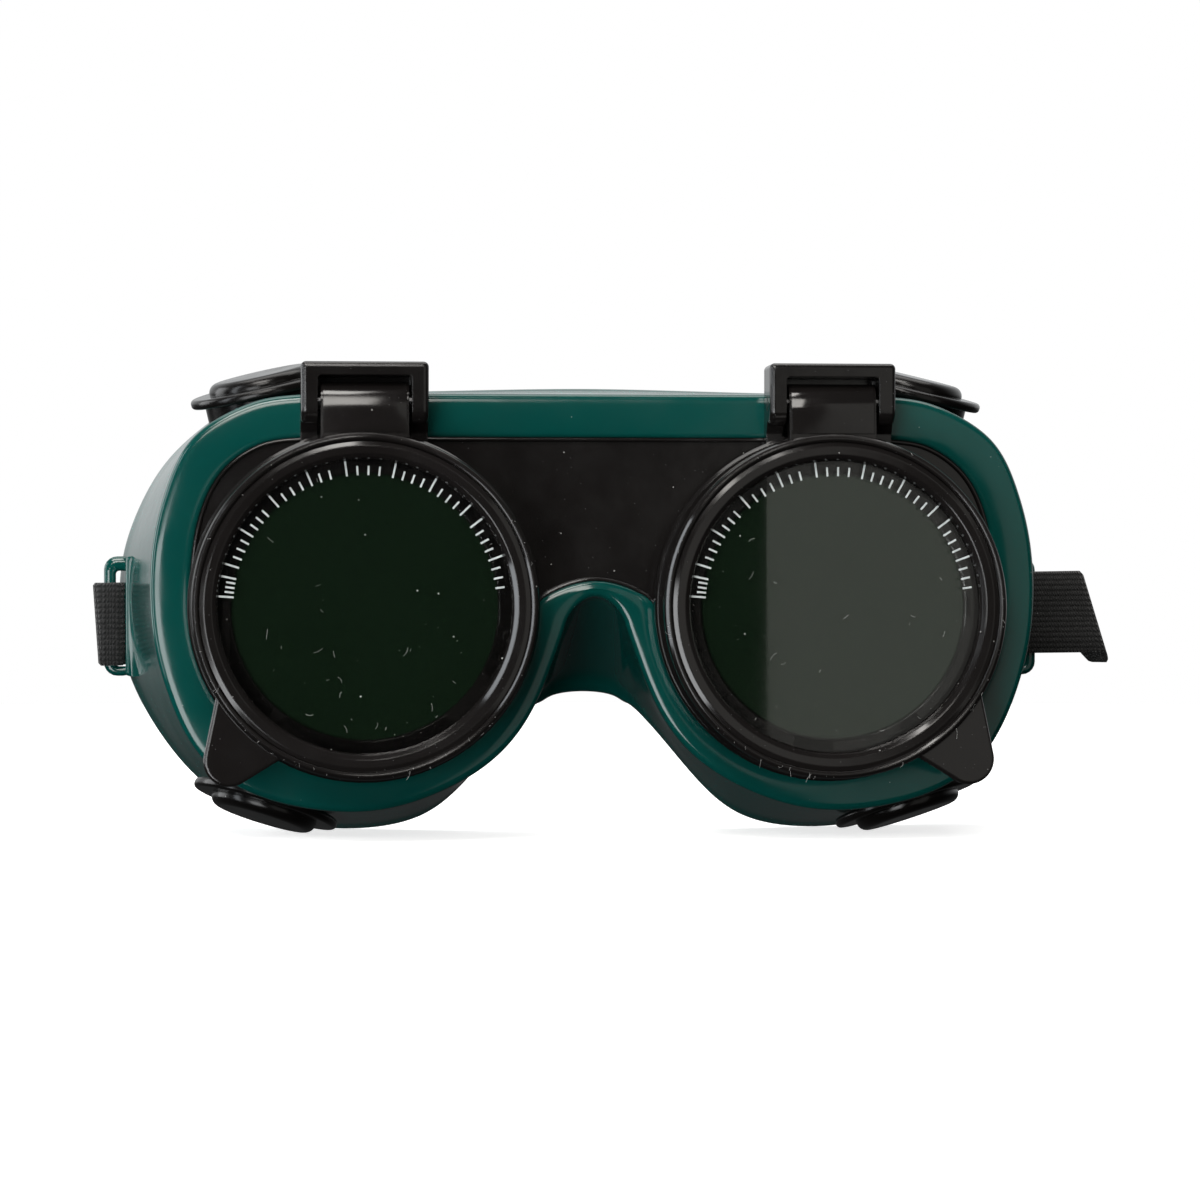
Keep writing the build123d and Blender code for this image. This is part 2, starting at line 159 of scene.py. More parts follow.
def clear_glass(name, tint):
    """Thin clear pane: mostly transparent, with a mirror layer that grows at grazing angles."""
    nodes = Nodes(name)
    place = nodes.coords.outputs["Object"]
    smear = nodes.add("TexNoise", {"Vector": place, "Scale": 30.0, "Detail": 1.0}).outputs["Fac"]
    gloss = nodes.add("BsdfGlossy", {"Roughness": nodes.ramp(smear, 0.3, 0.8, 0.0, 0.03)})
    clear = nodes.add("BsdfTransparent", {"Color": tint})
    edge = nodes.add("Fresnel", {"IOR": 1.5})
    pane = nodes.add("MixShader", {0: edge.outputs["Fac"], 1: clear.outputs["BSDF"],
                                   2: gloss.outputs["BSDF"]})
    lint = nodes.add("BsdfDiffuse", {"Color": colour(0.5, 0.52, 0.5)})
    dust = specks(nodes, 260.0, 0.045, 11.0)
    both = nodes.add("MixShader", {0: dust, 1: pane.outputs["Shader"], 2: lint.outputs["BSDF"]})
    out = nodes.tree.nodes["Material Output"]
    nodes.tree.links.new(both.outputs["Shader"], out.inputs["Surface"])
    return nodes.material


def shade_glass():
    nodes = Nodes("shade_glass")
    place = nodes.coords.outputs["Object"]
    cloudy = nodes.add("TexNoise", {"Vector": place, "Scale": 25.0, "Detail": 3.0}).outputs["Fac"]
    tint = nodes.mix_colour(cloudy, colour(0.0050, 0.0135, 0.0060), colour(0.0080, 0.0190, 0.0090))
    nodes.shape(Base_Color=tint, Roughness=nodes.ramp(cloudy, 0.3, 0.7, 0.02, 0.05), IOR=1.5)
    return nodes.material


def pin_steel():
    nodes = Nodes("pin_steel")
    grain = nodes.add("TexNoise", {"Vector": nodes.coords.outputs["Object"], "Scale": 700.0}).outputs["Fac"]
    nodes.shape(Base_Color=nodes.mix_colour(grain, colour(0.035, 0.035, 0.037), colour(0.08, 0.08, 0.08)),
                Metallic=1.0, Roughness=nodes.ramp(grain, 0.3, 0.7, 0.25, 0.4))
    return nodes.material


def elastic():
    """Ribbed woven elastic: cords along the length, weft across, a loose fuzz on top."""
    nodes = Nodes("elastic")
    along = nodes.coords.outputs["UV"]
    cords = nodes.add("TexWave", {"Vector": along, "Scale": 2.75, "Distortion": 0.5, "Detail": 2.0,
                                  "Detail Scale": 3.0}, bands_direction="Y").outputs["Fac"]
    weft = nodes.add("TexWave", {"Vector": along, "Scale": 5.0, "Distortion": 1.2, "Detail": 2.0,
                                 "Detail Scale": 4.0}, bands_direction="X").outputs["Fac"]
    fuzz = nodes.add("TexNoise", {"Vector": nodes.coords.outputs["Object"], "Scale": 1500.0, "Detail": 3.0})
    woven = nodes.add("Math", {0: cords, 1: weft}, operation="MULTIPLY").outputs["Value"]
    tint = nodes.mix_colour(woven, colour(0.0015, 0.0015, 0.0016), colour(0.010, 0.010, 0.0105))
    tint = nodes.mix_colour(specks(nodes, 700.0, 0.06, 5.0), tint, colour(0.2, 0.2, 0.2))
    normal = nodes.bump(fuzz.outputs["Fac"], 0.3, 0.0002)
    normal = nodes.bump(woven, 0.7, 0.0005, normal)
    nodes.shape(Base_Color=tint, Roughness=nodes.ramp(fuzz.outputs["Fac"], 0.3, 0.7, 0.7, 0.95),
                Sheen_Weight=0.12, Sheen_Roughness=0.5, Normal=normal)
    return nodes.material


# ---- mesh helpers ----
def new_piece(name, bm, material, body, smooth_angle):
    """An object from mesh data, with sharp edges past smooth_angle, riding on a body."""
    bmesh.ops.recalc_face_normals(bm, faces=bm.faces)
    mesh = bpy.data.meshes.new(name)
    bm.to_mesh(mesh)
    bm.free()
    piece = bpy.data.objects.new(name, mesh)
    bpy.context.scene.collection.objects.link(piece)
    mesh.materials.append(material)
    mesh.polygons.foreach_set("use_smooth", [True] * len(mesh.polygons))
    if smooth_angle < 180:
        mesh.set_sharp_from_angle(angle=math.radians(smooth_angle))
    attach(piece, body)
    return piece


def apply_modifiers(piece):
    """Bakes the modifiers into the mesh, so nothing is left to evaluate."""
    graph = bpy.context.evaluated_depsgraph_get()
    baked = bpy.data.meshes.new_from_object(piece.evaluated_get(graph))
    piece.modifiers.clear()
    piece.data = baked


def loft_rings(rings, closed_along=True):
    """Faces between rings of points of the same count; every ring is closed."""
    bm = bmesh.new()
    rows = [[bm.verts.new(point) for point in ring] for ring in rings]
    count = len(rows[0])
    pairs = list(zip(rows, rows[1:]))
    if closed_along:
        pairs.append((rows[-1], rows[0]))
    for first, second in pairs:
        for i in range(count):
            j = (i + 1) % count
            bm.faces.new((first[i], first[j], second[j], second[i]))
    if not closed_along:
        bm.faces.new(rows[0])
        bm.faces.new(rows[-1])
    return bm


def closed_curve(points, per_span):
    """A smooth closed curve through the points, the same number of steps in every span."""
    knots = np.array(points, float)
    count = len(knots)
    system = np.zeros((count, count))
    right = np.zeros_like(knots)
    for i in range(count):
        system[i, (i - 1) % count] = 1
        system[i, i] = 4
        system[i, (i + 1) % count] = 1
        right[i] = 3 * (knots[(i + 1) % count] - knots[i - 1])
    slopes = np.linalg.solve(system, right)
    curve = []
    for i in range(count):
        p0, p1 = knots[i], knots[(i + 1) % count]
        m0, m1 = slopes[i], slopes[(i + 1) % count]
        for step in range(per_span):
            t = step / per_span
            curve.append((2 * t**3 - 3 * t**2 + 1) * p0 + (t**3 - 2 * t**2 + t) * m0
                         + (-2 * t**3 + 3 * t**2) * p1 + (t**3 - t**2) * m1)
    return np.array(curve)


def whole(half):
    return half + [(-x, z) for x, z in half[-2:0:-1]]


def outward(curve):
    """Unit normals of a closed clockwise outline in x and z."""
    run = np.roll(curve, -1, axis=0) - np.roll(curve, 1, axis=0)
    normal = np.stack([-run[:, 1], run[:, 0]], axis=1)
    return normal / np.linalg.norm(normal, axis=1)[:, None]


# ---- the soft body ----
# Right halves of the outlines in x and z, clockwise from the top centre round to the nose arch.
FLANGE_HALF = [
    (0, 36.3), (25, 36.3), (49.2, 36.1), (60, 34.1), (68.4, 28.8), (73.0, 20.2), (75.4, 10),
    (75.6, -2), (73.3, -13.2), (67.9, -24.6), (58.7, -31.7), (47, -34.7), (36, -34.6), (25.5, -31.2),
    (16.5, -25.3), (10.3, -16.8), (6.6, -7.6), (5.3, -3.9), (3.9, -0.8), (0, 1.6),
]
REAR_HALF = [
    (0, 38.5), (28, 38.1), (54, 37.4), (65.3, 33.6), (73.5, 26.5), (79, 17.5), (82, 8),
    (82.4, -2.5), (80.4, -13), (73.5, -25.0), (63.5, -34.4), (51, -38.8), (38.5, -39.4), (28, -36.8),
    (20.5, -30.6), (14.5, -23.6), (9.5, -18.2), (7.3, -16.8), (5, -15.6), (0, -15.0),
]
OPENING_R = 29.3
OPENING_TOP = [(0, 28.8), (25, 28.8), (48, 28.7), (57.6, 27.3), (63.6, 22.9), (67.1, 16.2), (68.6, 8.5)]
OPENING_ANGLES = [-3, -22, -40, -60, -77, -95, -113, -131, -149, -166]
OPENING_NOSE = [(10.3, -1.2), (8.4, 1.8), (0, 4.4)]
FACE_R, NOSE_DEPTH = 150.0, 31.0
WALL_T, WALL_STEP = 2.3, 0.8
WALL_OUT_Y, WALL_IN_Y = 3.8, 5.2
PER_SPAN = 7


def opening_half():
    arc = [(LENS_X + OPENING_R * math.cos(math.radians(a)), OPENING_R * math.sin(math.radians(a)))
           for a in OPENING_ANGLES]
    return OPENING_TOP + arc + OPENING_NOSE


def face_depth(x):
    return NOSE_DEPTH + FACE_R - math.sqrt(FACE_R**2 - x**2)


def body_sections():
    """For every station round the outline, the closed section of lip, flange, wall and face edge."""
    flange = closed_curve(whole(FLANGE_HALF), PER_SPAN)
    rear = closed_curve(whole(REAR_HALF), PER_SPAN)
    opening = closed_curve(whole(opening_half()), PER_SPAN)
    rear_out = outward(rear)
    flange_out = outward(flange)
    sections = []
    for hole, edge, back, out, edge_out in zip(opening, flange, rear, rear_out, flange_out):
        width = np.linalg.norm(edge - hole)
        across = (edge - hole) / width
        depth = face_depth(back[0])
        front = [(-1.2, 4.6), (-1.2, 3.5), (0.9, 3.45), (0.9, 1.2), (0.0, 1.15), (0.0, 0.75), (0.12, 0.35),
                 (0.5, 0.12), (1.2, 0.02), (width * 0.5, -0.1), (width - 1.5, 0.0), (width - 0.8, 0.1),
                 (width - 0.28, 0.42), (width - 0.03, 0.95), (width, 1.7), (width - 0.05, 2.6),
                 (width - 0.3, 3.2)]
        section = [(*(hole + across * reach), y) for reach, y in front]
        root_out = edge - edge_out * WALL_STEP
        root_in = edge - edge_out * (WALL_STEP + WALL_T)
        back_in = back - out * WALL_T
        for share in (0.03, 0.09, 0.17, 0.3, 0.45, 0.6, 0.75, 0.86):
            point = root_out + (back - root_out) * share
            section.append((*point, WALL_OUT_Y + (depth - WALL_OUT_Y) * share))
        lip = [(0.0, -3.2), (0.1, -2.2), (0.15, -1.2), (-0.05, -0.3), (-0.7, 0.05), (-1.5, -0.05),
               (-2.2, -0.6), (-2.35, -1.8)]
        section += [(*(back + out * reach), depth + y) for reach, y in lip]
        for share in (0.86, 0.7, 0.5, 0.3, 0.12, 0.03):
            point = root_in + (back_in - root_in) * share
            section.append((*point, WALL_IN_Y + (depth - WALL_IN_Y) * share))
        section.append((*(hole + across * (width * 0.35)), 4.75))
        sections.append([at(x, y, z) for x, z, y in section])
    return sections


VENT_HOLE_R, VENT_HOLE_DEEP = 10.62, 12.0


def vent_cutter(node):
    """A cylinder through the wall along a vent's own axis."""
    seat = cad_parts[node]
    points = np.array([vert.co for vert in seat.data.vertices])
    centre = (points.min(axis=0) + points.max(axis=0)) / 2
    _, _, axes = np.linalg.svd(points - points.mean(axis=0), full_matrices=False)
    axis = Vector(axes[2])
    bm = bmesh.new()
    place = Matrix.Translation(Vector(centre)) @ axis.to_track_quat("Z", "Y").to_matrix().to_4x4()
    bmesh.ops.create_cone(bm, cap_ends=True, segments=96, radius1=VENT_HOLE_R * MM, radius2=VENT_HOLE_R * MM,
                          depth=VENT_HOLE_DEEP * MM, matrix=place)
    mesh = bpy.data.meshes.new("cutter")
    bm.to_mesh(mesh)
    bm.free()
    cutter = bpy.data.objects.new("cutter", mesh)
    bpy.context.scene.collection.objects.link(cutter)
    return cutter


def build_body(material):
    """The soft body as one closed skin, with a round hole in its wall for each vent."""
    body = new_piece("soft_body", loft_rings(body_sections()), material, "goggle", smooth_angle=180)
    smooth = body.modifiers.new("smooth", "SUBSURF")
    smooth.levels = smooth.render_levels = 1
    apply_modifiers(body)
    cutters = [vent_cutter(name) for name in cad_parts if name.startswith("vent_seat")]
    for cutter in cutters:
        cut = body.modifiers.new("vent", "BOOLEAN")
        cut.operation, cut.solver, cut.object = "DIFFERENCE", "EXACT", cutter
    apply_modifiers(body)
    for cutter in cutters:
        bpy.data.objects.remove(cutter)
    body.data.polygons.foreach_set("use_smooth", [True] * len(body.data.polygons))
    body.data.set_sharp_from_angle(angle=math.radians(50))
    body.data.materials.clear()
    body.data.materials.append(material)
    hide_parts("facepiece")
    return body


def rounded_rectangle(x0, x1, z0, z1, radius, steps=5):
    corners = [(x1 - radius, z1 - radius, 0), (x0 + radius, z1 - radius, 90),
               (x0 + radius, z0 + radius, 180), (x1 - radius, z0 + radius, 270)]
    points = []
    for x, z, start in corners:
        for step in range(steps + 1):
            angle = math.radians(start + 90 * step / steps)
            points.append((x + radius * math.cos(angle), z + radius * math.sin(angle)))
    return points


LUG_Y, LUG_T = 48.5, 3.0
# Left, right, bottom and top of the tab and of its slot, and the radius of their corners.
LUG_OUTER = (80.5, 86.3, -12.6, 9.0, 2.4)
LUG_SLOT = (82.0, 84.2, -10.9, 6.4, 0.6)
LUG_INSET, LUG_EDGE_R = 1.1, 0.45
# Outline in x and z of the foot: its proud side, then the side that follows the wall.
LUG_ROOT = [(79.4, 8.8), (80.3, 9.0), (80.9, 8.8), (81.1, 8.2), (81.1, -2.0), (81.1, -11.9), (80.9, -12.4),
            (80.3, -12.6), (77.8, -12.5), (79.15, -7.5), (79.8, -2.0)]
LUG_ROOT_PROUD_X = 80.0
# Depth of each section of the foot, and how far its proud side is drawn in there.
LUG_ROOT_STEPS = [(41.6, 0.55), (41.8, 0.2), (42.4, 0.0), (47.8, 0.0), (50.6, 0.0)]


def build_lug(side_name, material):
    """A slotted tab with rounded edges, as one closed ring of small sections."""
    side = SIDES[side_name]
    outer = rounded_rectangle(*LUG_OUTER)
    slot = rounded_rectangle(*LUG_SLOT)
    soft = LUG_EDGE_R
    rings = []
    for (ox, oz), (ix, iz) in zip(outer, slot):
        out = Vector((ox - ix, oz - iz)).normalized()
        section = [(ix, iz, LUG_Y + soft), (ix + out.x * soft, iz + out.y * soft, LUG_Y),
                   (ox - out.x * soft, oz - out.y * soft, LUG_Y), (ox, oz, LUG_Y + soft),
                   (ox, oz, LUG_Y + LUG_T - soft), (ox - out.x * soft, oz - out.y * soft, LUG_Y + LUG_T),
                   (ix + out.x * soft, iz + out.y * soft, LUG_Y + LUG_T), (ix, iz, LUG_Y + LUG_T - soft)]
        rings.append([at(side * (x - LUG_INSET), y, z) for x, z, y in section])
    lug = new_piece(f"strap_lug_{side_name}", loft_rings(rings), material, "goggle", 50)
    return lug


def build_lug_root(side_name, material):
    """The thick foot that carries the tab down onto the wall, standing a little proud of it."""
    side = SIDES[side_name]
    rings = [[at(side * (x - (drop if x > LUG_ROOT_PROUD_X else 0.0)), y, z) for x, z in LUG_ROOT]
             for y, drop in LUG_ROOT_STEPS]
    root = new_piece(f"lug_root_{side_name}", loft_rings(rings, closed_along=False), material, "goggle", 50)
    return root


# ---- strap ----
STRAP_W, STRAP_T, STRAP_Z = 15.0, 1.3, -2.2
# Plan route of the strap's middle line, from its sewn end round the left lug, behind the goggles,
# round the right lug and back through the keeper, with the radius of each bend.
STRAP_PLAN = [
    (-79.0, 76), (-82.2, 58), (-82.0, 47.5), (-86.05, 47.5), (-86.05, 54), (-84.0, 60), (-79, 86),
    (-62, 106), (-34, 117), (0, 120.5), (34, 118), (62, 112), (80, 100), (85.9, 84), (85.9, 64),
    (93.5, 57.5), (96.6, 47.5), (82.0, 47.5), (82.0, 54), (83.0, 61), (83.6, 84),
]
STRAP_RADII = [12, 1.3, 1.3, 6, 20, 26, 40, 60, 60, 60, 40, 20, 14, 6, 3, 1.6, 1.3, 6, 20]
# The strap sags behind SAG_START, and its rear ply hangs lower beside the right lug.
SAG_START, SAG_SLOPE = 84.0, 7 / 46
STRAP_TILT = 0.0125
REAR_PLY_DIP, FOLD_DIP_X = 1.9, 87.0
DIP_START_Y, DIP_FULL_Y, DIP_HELD_Y, DIP_END_Y = 47.7, 49.0, 53.5, 57.6
FOLD_START_X, FOLD_TIP_X, FOLD_END_Y, FOLD_LEAN = 85.5, 96.6, 66.0, 0.33
LOOP_LEAN = 0.07


def strap_line():
    """The strap's middle line in plan: straight runs and arcs, in short steps."""
    points = [Vector(p) for p in STRAP_PLAN]
    line = [points[0]]
    for before, corner, after, radius in zip(points, points[1:], points[2:], STRAP_RADII):
        into = (corner - before).normalized()
        out = (after - corner).normalized()
        turn = math.acos(max(-1.0, min(1.0, into.dot(out))))
        reach = radius * math.tan(turn / 2)
        sign = 1 if into.x * out.y - into.y * out.x > 0 else -1
        start = corner - into * reach
        centre = start + Vector((-into.y, into.x)) * sign * radius
        steps = max(3, int(math.degrees(turn) / 7))
        for step in range(steps + 1):
            spoke = start - centre
            spoke.rotate(Matrix.Rotation(sign * turn * step / steps, 2))
            line.append(centre + spoke)
    line.append(points[-1])
    return line


def evenly(line, spacing):
    """The same line with its long runs divided."""
    out = [line[0]]
    for a, b in zip(line, line[1:]):
        pieces = max(1, round((b - a).length / spacing))
        out += [a + (b - a) * (k + 1) / pieces for k in range(pieces)]
    return out


def eased(value, start, end):
    """0 before start, 1 after end, and a smooth step between."""
    share = min(1.0, max(0.0, (value - start) / (end - start)))
    return share * share * (3 - 2 * share)


def strap_height(x, y):
    """Level at the lugs, a little higher on one side, then a shallow sag behind."""
    over = y - SAG_START
    sag = SAG_SLOPE * max(0.0, over - 3 * (1 - math.exp(-max(0.0, over) / 3)))
    dip = 0.0
    if x > FOLD_DIP_X:
        dip = REAR_PLY_DIP * eased(y, DIP_START_Y, DIP_FULL_Y) * (1 - eased(y, DIP_HELD_Y, DIP_END_Y))
    return STRAP_Z + STRAP_TILT * x - sag - dip


def fold_lean(x, y):
    """How far the loose fold beside the lug slants outward per millimetre down."""
    if y > FOLD_END_Y or abs(x) < FOLD_START_X:
        return 0.0
    if x < 0:
        return LOOP_LEAN
    return FOLD_LEAN * (x - FOLD_START_X) / (FOLD_TIP_X - FOLD_START_X)


def ribbon(name, line, width, thickness, material, uv_scale):
    """A flat woven band standing on edge, with plump edges and its own length and width coordinates."""
    half_w, half_t = width / 2, thickness / 2
    profile = [(-half_t * 0.35, half_w), (-half_t, half_w - 0.5), (-half_t, half_w * 0.5), (-half_t, 0),
               (-half_t, -half_w * 0.5), (-half_t, -half_w + 0.5), (-half_t * 0.35, -half_w),
               (half_t * 0.35, -half_w), (half_t, -half_w + 0.5), (half_t, -half_w * 0.5), (half_t, 0),
               (half_t, half_w * 0.5), (half_t, half_w - 0.5), (half_t * 0.35, half_w)]
    rings, along, travelled = [], [], 0.0
    for i, point in enumerate(line):
        before, after = line[max(i - 1, 0)], line[min(i + 1, len(line) - 1)]
        run = (after - before).normalized()
        left = Vector((-run.y, run.x))
        if i:
            travelled += (point - line[i - 1]).length
        z = strap_height(point.x, point.y)
        lean = fold_lean(point.x, point.y)
        rings.append([at(point.x + left.x * t - lean * w, point.y + left.y * t, z + w) for t, w in profile])
        along.append(travelled)
    bm = loft_rings(rings, closed_along=False)
    uv = bm.loops.layers.uv.new("woven")
    bm.verts.index_update()
    count = len(profile)
    for face in bm.faces:
        for loop in face.loops:
            ring, spot = divmod(loop.vert.index, count)
            loop[uv].uv = (along[ring] * uv_scale, profile[spot][1] * uv_scale)
    return new_piece(name, bm, material, "goggle", 60)


def build_strap(material):
    strap = ribbon("head_strap", evenly(strap_line(), 1.2), STRAP_W, STRAP_T, material, 0.12)
    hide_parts("strap")
    return strap


STITCH_FEET = [(-83.2, 64.0), (-82.05, 70.0)]
STITCH_OUT = Vector((-0.982, 0.189))
STITCHES_A_ROW, STITCH_ROW_HALF = 7, 6.0
STITCH_R, STITCH_HALF = 0.22, 0.75


def thread():
    nodes = Nodes("thread")
    ply = nodes.add("TexWave", {"Vector": nodes.coords.outputs["Object"], "Scale": 900.0, "Distortion": 1.0})
    tint = nodes.mix_colour(ply.outputs["Fac"], colour(0.006, 0.006, 0.007), colour(0.05, 0.05, 0.055))
    nodes.shape(Base_Color=tint, Roughness=nodes.ramp(ply.outputs["Fac"], 0.0, 1.0, 0.5, 0.8))
    return nodes.material


def build_stitches(material):
    """Two bar rows across the band, where its sewn end is doubled behind the lug."""
    bm = bmesh.new()
    shape = Matrix.Diagonal((STITCH_R * MM, STITCH_R * MM, STITCH_HALF * MM, 1))
    for x, y in STITCH_FEET:
        foot = Vector((x, y)) + STITCH_OUT * (STRAP_T / 2)
        for k in range(STITCHES_A_ROW):
            across = STITCH_ROW_HALF * (2 * k / (STITCHES_A_ROW - 1) - 1)
            place = Matrix.Translation(at(foot.x, foot.y, strap_height(x, y) + across)) @ shape
            bmesh.ops.create_uvsphere(bm, u_segments=10, v_segments=8, radius=1.0, matrix=place)
    stitches = new_piece("strap_stitches", bm, material, "goggle", 180)
    return stitches


# ---- mouldings the eye sees on the plate and the tongues ----
TONGUE_HALF, TONGUE_PROUD, TONGUE_SUNK = 7.1, 0.02, 0.3
TONGUE_STEPS = 16
# Depth and height of the face's middle line, and how far it is crowned there.
TONGUE_LINE = [
    (-8.86, 29.2, 0.05), (-8.75, 30.6, 0.10), (-8.68, 31.8, 0.22), (-8.62, 32.8, 0.30), (-8.55, 33.7, 0.35),
    (-8.38, 34.6, 0.35), (-8.17, 35.5, 0.35), (-7.92, 36.3, 0.35), (-7.30, 37.05, 0.30),
]


def build_tongue_shell(side_name, material):
    """The tongue's polished face: crowned across its width, and rolled over the barrel at the top."""
    centre = SIDES[side_name] * LENS_X
    rings = []
    for y, z, swell in TONGUE_LINE:
        front = []
        for k in range(TONGUE_STEPS + 1):
            across = 2 * k / TONGUE_STEPS - 1
            crown = swell * max(0.0, 1 - across**2) ** 0.75
            front.append(at(centre + across * TONGUE_HALF, y - TONGUE_PROUD - crown, z))
        back = [at(centre + across * TONGUE_HALF, y + TONGUE_SUNK, z) for across in (1, 0.5, 0, -0.5, -1)]
        rings.append(front + back)
    shell = new_piece(f"tongue_face_{side_name}", loft_rings(rings, closed_along=False), material,
                      f"cup_{side_name}", 50)
    return shell


BEAD_R, BEAD_INSET, BEAD_Y, BEAD_SIDES = 0.42, 0.25, 0.95, 8


def build_plate_bead(material):
    """Fine rounded moulding where the plate meets the soft lip."""
    opening = closed_curve(whole(opening_half()), PER_SPAN)
    out = outward(opening)
    rings = []
    for point, away in zip(opening, out):
        ring = []
        for k in range(BEAD_SIDES):
            turn = 2 * math.pi * k / BEAD_SIDES
            x, z = point + away * (BEAD_R * math.cos(turn) - BEAD_INSET)
            ring.append(at(x, BEAD_Y + BEAD_R * math.sin(turn), z))
        rings.append(ring)
    bead = new_piece("plate_bead", loft_rings(rings), material, "goggle", 180)
    return bead


# ---- printed index marks and lint on the cups ----
MARK_R, MARK_TALL, MARK_WIDE, MARK_PROUD = 22.0, 2.5, 0.32, 0.06
MARK_LONG_EVERY, MARK_SHORT = 4, 0.62
# Start and end angle of each run of strokes, in degrees, and how many there are.
MARK_GROUPS = [(176, 168, 5), (163, 137, 8), (131, 105, 7), (98, 84, 4), (78, 44, 9), (37, 8, 8)]


def white_ink():
    nodes = Nodes("white_ink")
    wear = nodes.add("TexNoise", {"Vector": nodes.coords.outputs["Object"], "Scale": 900.0, "Detail": 3.0})
    tint = nodes.mix_colour(wear.outputs["Fac"], colour(0.25, 0.28, 0.28), colour(0.75, 0.8, 0.8))
    nodes.shape(Base_Color=tint, Roughness=nodes.ramp(wear.outputs["Fac"], 0.3, 0.7, 0.4, 0.7))
    return nodes.material


def build_marks(side_name, material):
    """A ring of printed strokes round the upper half of the cover glass, like a dial's scale."""
    lo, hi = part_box(f"cover_lens_{side_name}")
    centre_x = (lo[0] + hi[0]) / 2
    front = lo[1] - MARK_PROUD * MM
    bm = bmesh.new()
    for start, end, strokes in MARK_GROUPS:
        for k in range(strokes):
            angle = math.radians(start + (end - start) * k / (strokes - 1))
            out = Vector((math.cos(angle), 0, math.sin(angle)))
            aside = Vector((-out.z, 0, out.x)) * MARK_WIDE / 2 * MM
            tall = MARK_TALL * (1.0 if k % MARK_LONG_EVERY == 0 else MARK_SHORT)
            foot = Vector((centre_x, front, LENS_Z)) + out * MARK_R * MM
            head = foot + out * tall * MM
            ring = [bm.verts.new(p) for p in (foot - aside, foot + aside, head + aside, head - aside)]
            bm.faces.new(ring)
    marks = new_piece(f"index_marks_{side_name}", bm, material, f"cup_{side_name}", 30)
    return marks


def lint_fibre():
    nodes = Nodes("lint_fibre")
    shade = nodes.add("TexNoise", {"Vector": nodes.coords.outputs["Object"], "Scale": 2000.0}).outputs["Fac"]
    tint = nodes.mix_colour(shade, colour(0.2, 0.2, 0.2), colour(0.6, 0.6, 0.58))
    nodes.shape(Base_Color=tint, Roughness=0.8)
    return nodes.material


FIBRES, ON_GLASS_SHARE, FIBRE_STEPS = 80, 0.45, 4
GLASS_R, RIM_INNER_R, RIM_OUTER_R = 24.0, 28.3, 28.9
FIBRE_LENGTHS = (0.12, 0.15, 0.25, 0.6, 1.5)
FIBRE_PROUD = 0.03


def build_lint(side_name, material):
    """Short curled fibres and dust caught on the front of a cup, more of them low down."""
    chance = random.Random(f"lint {side_name}")
    glass_lo, glass_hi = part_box(f"cover_lens_{side_name}")
    cup_lo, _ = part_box(f"flip_cup_{side_name}")
    centre_x = (glass_lo[0] + glass_hi[0]) / 2
    bm = bmesh.new()
    for _ in range(FIBRES):
        if chance.random() < ON_GLASS_SHARE:
            reach, y = GLASS_R * math.sqrt(chance.random()), glass_lo[1]
        else:
            reach, y = chance.uniform(RIM_INNER_R, RIM_OUTER_R), cup_lo[1]
        angle = -math.pi / 2 + chance.gauss(0, 1.3)
        spot = Vector((centre_x + reach * MM * math.cos(angle), y - FIBRE_PROUD * MM,
                       LENS_Z + reach * MM * math.sin(angle)))
        heading = chance.uniform(0, 2 * math.pi)
        curl = chance.uniform(-1.6, 1.6)
        length = chance.choice(FIBRE_LENGTHS) * chance.uniform(0.6, 1.2) * MM
        thick = chance.uniform(0.012, 0.03) * MM
        rings = []
        for k in range(FIBRE_STEPS + 1):
            turn = heading + curl * k / FIBRE_STEPS
            aside = Vector((math.sin(turn), 0, -math.cos(turn)))
            corners = (-aside, Vector((0, -1.2, 0)), aside)
            rings.append([bm.verts.new(spot + corner * thick) for corner in corners])
            spot = spot + Vector((math.cos(turn), 0, math.sin(turn))) * length / FIBRE_STEPS
        for first, second in zip(rings, rings[1:]):
            for i in range(3):
                bm.faces.new((first[i], first[(i + 1) % 3], second[(i + 1) % 3], second[i]))
        bm.faces.new(rings[0])
        bm.faces.new(rings[-1])
    lint = new_piece(f"lint_{side_name}", bm, material, f"cup_{side_name}", 180)
    return lint


# ---- stage ----
CAMERA_TURN = -4.8
CAMERA_DISTANCE = 0.70
AIM = at(0.68, 0, 1.1)
FOCAL_LENGTH = 123.06


def build_camera():
    data = bpy.data.cameras.new("camera")
    camera = bpy.data.objects.new("camera", data)
    bpy.context.scene.collection.objects.link(camera)
    turn = math.radians(CAMERA_TURN)
    back = Vector((math.sin(turn), -math.cos(turn), 0))
    camera.location = AIM + back * CAMERA_DISTANCE
    camera.rotation_euler = (-back).to_track_quat("-Z", "Y").to_euler()
    data.sensor_width = 36
    data.lens = FOCAL_LENGTH
    data.clip_start, data.clip_end = 0.01, 50
    bpy.context.scene.camera = camera


def area_light(name, place, target, size, power, tint):
    data = bpy.data.lights.new(name, "AREA")
    data.shape, data.size, data.size_y = "RECTANGLE", size[0], size[1]
    data.energy, data.color = power, tint
    light = bpy.data.objects.new(name, data)
    light.location = place
    light.rotation_euler = (Vector(place) - Vector(target)).to_track_quat("Z", "Y").to_euler()
    light.visible_camera = False
    bpy.context.scene.collection.objects.link(light)


